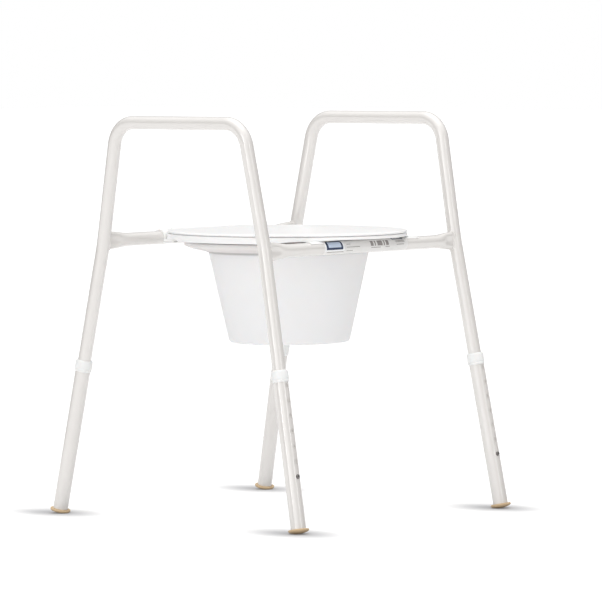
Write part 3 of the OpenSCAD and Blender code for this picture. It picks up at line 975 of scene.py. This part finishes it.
def rear_reliefs():
    """The wedges by which the seat's lower edge rises toward its rear corners."""
    outline = [(70, 460), (70, 465.5), (100, 470.4), (130, 473.8), (170, 476.4), (170, 460)]
    wedge = prism(outline, RELIEF_W)
    return joined(*(moved(wedge, across(sign * RELIEF_X, 0, 0)) for sign in SIDES.values()))


def smooth_copy(node, name, body, slot, sharp=32, cuts=None):
    """A welded copy of a CAD node's mesh, shaded smooth except at its real edges."""
    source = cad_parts[node].data
    points = np.zeros(len(source.vertices) * 3)
    source.vertices.foreach_get("co", points)
    faces = [list(p.vertices) for p in source.polygons]
    shape = (points.reshape(-1, 3) / MM, faces)
    return piece(name, shape, body, slot, [node], cuts=cuts, sharp=sharp)


def make_guides():
    """Two channels open toward each other; the outline is one seen from its end."""
    top = SEAT_BOTTOM - TOUCH
    lip = GUIDE_LIP_Z
    lip_top = lip + GUIDE_LIP_T
    flange = top - GUIDE_FLANGE_T
    outline = [(0, lip), (GUIDE_W, lip), (GUIDE_W, lip_top), (GUIDE_WEB, lip_top), (GUIDE_WEB, flange),
               (GUIDE_FLANGE_W, flange), (GUIDE_FLANGE_W, top), (0, top)]
    for end, sign in ENDS.items():
        place = shift(0, SEAT_Y + sign * GUIDE_Y, 0) @ flip(y=-sign) @ across(0, 0, 0)
        piece("guide_channel_" + end, moved(prism(outline, GUIDE_L), place), "seat", "clip_plastic",
              ["pan_guide_" + end], bevel=0.4)


def make_screws():
    smooth_copy("seat_screws", "pan_head_screws", "seat", "spring_steel")
    smooth_copy("lid_buffers", "lid_rubber_buffers", "lid", "buffer_rubber")


# ---------- pan ----------


def pan_ring(radius, z, reach):
    """A circle of the pan, cut straight along the two guides."""
    ring = []
    for k in range(PAN_POINTS):
        a = 2 * math.pi * k / PAN_POINTS
        y = min(max(radius * math.sin(a), -reach), reach)
        ring.append((radius * math.cos(a), SEAT_Y + y, z))
    return ring


def make_pan():
    rings = [pan_ring(radius, z, PAN_FLAT_Y) for radius, z in PAN_OUTSIDE]
    rings += [pan_ring(radius, z, PAN_FLAT_Y - PAN_WALL) for radius, z in PAN_INSIDE]
    piece("pan_bowl", loft(rings), "pan", "pan_plastic", ["pan"], sharp=50)
    low = GUIDE_LIP_Z + GUIDE_LIP_T + RUNNER_PLAY
    inner, middle, outer = RUNNER_Y
    outline = [(inner, RUNNER_FOOT_Z), (middle, RUNNER_FOOT_Z), (middle, low), (outer, low),
               (outer, low + RUNNER_T), (inner, low + RUNNER_T)]
    for end, sign in ENDS.items():
        place = shift(0, SEAT_Y, 0) @ flip(y=sign) @ across(0, 0, 0)
        piece("pan_runner_" + end, moved(prism(outline, RUNNER_L), place), "pan", "pan_plastic",
              bevel=0.6)


def paint_springs():
    """The button springs keep the CAD's own meshes and get steel."""
    for name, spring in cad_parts.items():
        if name.startswith("button_spring"):
            spring.data.materials.clear()
            spring.data.materials.append(MATERIALS["spring_steel"])


# ---------- build ----------

make_side_frames()
make_rails()
make_label()
make_legs()
make_lid()
make_seat()
make_guides()
make_screws()
make_pan()
paint_springs()


# ---------- stage ----------

def camera_axes():
    """The camera's right, up and forward directions."""
    az = math.radians(CAMERA_AZIMUTH)
    el = math.radians(CAMERA_ELEVATION)
    roll = math.radians(CAMERA_ROLL)
    forward = Vector((-math.sin(az) * math.cos(el), math.cos(az) * math.cos(el), -math.sin(el)))
    right = Vector((math.cos(az), math.sin(az), 0))
    up = right.cross(forward)
    return (math.cos(roll) * right + math.sin(roll) * up,
            math.cos(roll) * up - math.sin(roll) * right, forward)


def make_camera():
    right, up, forward = camera_axes()
    aim = Vector((0, ARM_BAR_Y * MM, AIM_HEIGHT)) + right * AIM_RIGHT - up * AIM_DOWN
    data = bpy.data.cameras.new("camera")
    data.lens = CAMERA_LENS
    data.sensor_width = 36
    data.clip_end = 60
    obj = bpy.data.objects.new("camera", data)
    basis = Matrix((right, up, -forward)).transposed().to_4x4()
    obj.matrix_world = Matrix.Translation(aim - forward * CAMERA_DISTANCE) @ basis
    bpy.context.scene.collection.objects.link(obj)
    bpy.context.scene.camera = obj


def area_light(name, place, aim, size, power, colour=(1, 1, 1)):
    data = bpy.data.lights.new(name, "AREA")
    data.shape = "RECTANGLE"
    data.size, data.size_y = size
    data.energy = power
    data.color = colour
    obj = bpy.data.objects.new(name, data)
    direction = Vector(aim) - Vector(place)
    facing = direction.to_track_quat("-Z", "Y").to_matrix().to_4x4()
    obj.matrix_world = Matrix.Translation(place) @ facing
    bpy.context.scene.collection.objects.link(obj)
    obj.visible_camera = False


def make_world():
    """White to the camera; for light, a room bright overhead and behind the camera, dim elsewhere."""
    world = bpy.data.worlds.new("studio")
    world.use_nodes = True
    bpy.context.scene.world = world
    tree = world.node_tree

    place = tree.nodes.new("ShaderNodeTexCoord").outputs["Generated"]
    azimuth = math.radians(CAMERA_AZIMUTH - KEY_LEFT)
    toward = tree.nodes.new("ShaderNodeVectorMath")
    toward.operation = "DOT_PRODUCT"
    toward.inputs[1].default_value = Vector(
        (math.sin(azimuth), -math.cos(azimuth), KEY_RISE)).normalized()
    tree.links.new(place, toward.inputs[0])
    split = tree.nodes.new("ShaderNodeSeparateXYZ")
    tree.links.new(place, split.inputs[0])
    key = maths(tree, "POWER", maths(tree, "MAXIMUM", toward.outputs["Value"], 0.0), KEY_TIGHTNESS)
    sky = maths(tree, "POWER", maths(tree, "MAXIMUM", split.outputs["Z"], 0.0), 2.0)
    key = maths(tree, "MULTIPLY", key, KEY_LIGHT)
    sky = maths(tree, "MULTIPLY", sky, SKY_LIGHT)
    light = maths(tree, "ADD", maths(tree, "ADD", key, sky), ROOM_LIGHT)
    background = tree.nodes["Background"]
    tree.links.new(light, background.inputs["Strength"])
    background.inputs["Color"].default_value = (1, 0.995, 0.99, 1)
    white = tree.nodes.new("ShaderNodeBackground")
    white.inputs["Color"].default_value = (1, 1, 1, 1)
    path = tree.nodes.new("ShaderNodeLightPath")
    mix = tree.nodes.new("ShaderNodeMixShader")
    tree.links.new(path.outputs["Is Camera Ray"], mix.inputs[0])
    tree.links.new(background.outputs[0], mix.inputs[1])
    tree.links.new(white.outputs[0], mix.inputs[2])
    tree.links.new(mix.outputs[0], tree.nodes["World Output"].inputs["Surface"])


def foot_shade(n, foot):
    """0 at a foot and 1 beyond its soft shadow, which is longer along Y and lies a little to the rear."""
    apart = n.tree.nodes.new("ShaderNodeVectorMath")
    apart.operation = "SUBTRACT"
    n.tree.links.new(n.place, apart.inputs[0])
    apart.inputs[1].default_value = foot + Vector((0, FOOT_SHADE_BACK, 0))
    scaled = n.tree.nodes.new("ShaderNodeVectorMath")
    scaled.operation = "DIVIDE"
    n.tree.links.new(apart.outputs[0], scaled.inputs[0])
    scaled.inputs[1].default_value = (FOOT_SHADE_X, FOOT_SHADE_Y, 1)
    length = n.tree.nodes.new("ShaderNodeVectorMath")
    length.operation = "LENGTH"
    n.tree.links.new(scaled.outputs[0], length.inputs[0])
    fall = n.tree.nodes.new("ShaderNodeMapRange")
    fall.interpolation_type = "SMOOTHSTEP"
    n.tree.links.new(length.outputs["Value"], fall.inputs["Value"])
    return fall.outputs["Result"]


def make_floor():
    """A plain white floor; its material has a painted shadow round each foot, and glows for the camera
    only.
    """
    size = FLOOR_HALF
    corners = [(-size, -size, 0), (size, -size, 0), (size, size, 0), (-size, size, 0)]
    mesh = bpy.data.meshes.new("floor")
    mesh.from_pydata(corners, [], [[0, 1, 2, 3]])
    obj = bpy.data.objects.new("floor", mesh)
    bpy.context.scene.collection.objects.link(obj)
    n = Nodes("floor_white")
    total = None
    for end in ENDS:
        for side in SIDES:
            shade_here = foot_shade(n, on_leg(side, end) @ Vector((0, 0, 0)) * MM)
            total = shade_here if total is None else maths(n.tree, "MULTIPLY", total, shade_here)
    path = n.tree.nodes.new("ShaderNodeLightPath")
    glow = maths(n.tree, "MULTIPLY", path.outputs["Is Camera Ray"], FLOOR_GLOW)
    glow = maths(n.tree, "ADD", glow, FLOOR_BOUNCE)
    # the feet's painted shadows darken the floor's colour, which is also its glow
    colour = n.mix(total, FOOT_SHADE_COLOUR, FLOOR_COLOUR)
    n.set("Base Color", colour)
    n.set("Roughness", 0.9)
    n.set("Specular IOR Level", 0.1)
    n.set("Emission Color", colour)
    n.set("Emission Strength", glow)
    n.set("Normal", n.bump(n.noise(40, 2), 0.02, 0.2))
    mesh.materials.append(n.material)


def around(off, distance, height):
    """A place at an angle to the right of the camera, seen from the chair."""
    a = math.radians(CAMERA_AZIMUTH + off)
    return (math.sin(a) * distance, -math.cos(a) * distance, height)


def make_lights():
    """A softbox overhead and two tall strips whose reflections run down the tubes."""
    middle = (0, 0, AIM_HEIGHT)
    area_light("top_softbox", (0, -0.2, 3.0), middle, (2.4, 2.4), 8)
    area_light("left_strip", around(-35, STRIP_DISTANCE, STRIP_HEIGHT), middle, (0.35, STRIP_TALL), 11)
    area_light("right_strip", around(46, STRIP_DISTANCE, STRIP_HEIGHT), middle, (0.30, STRIP_TALL), 9)


make_camera()
make_world()
make_floor()
make_lights()
bpy.context.scene.view_settings.view_transform = "Standard"
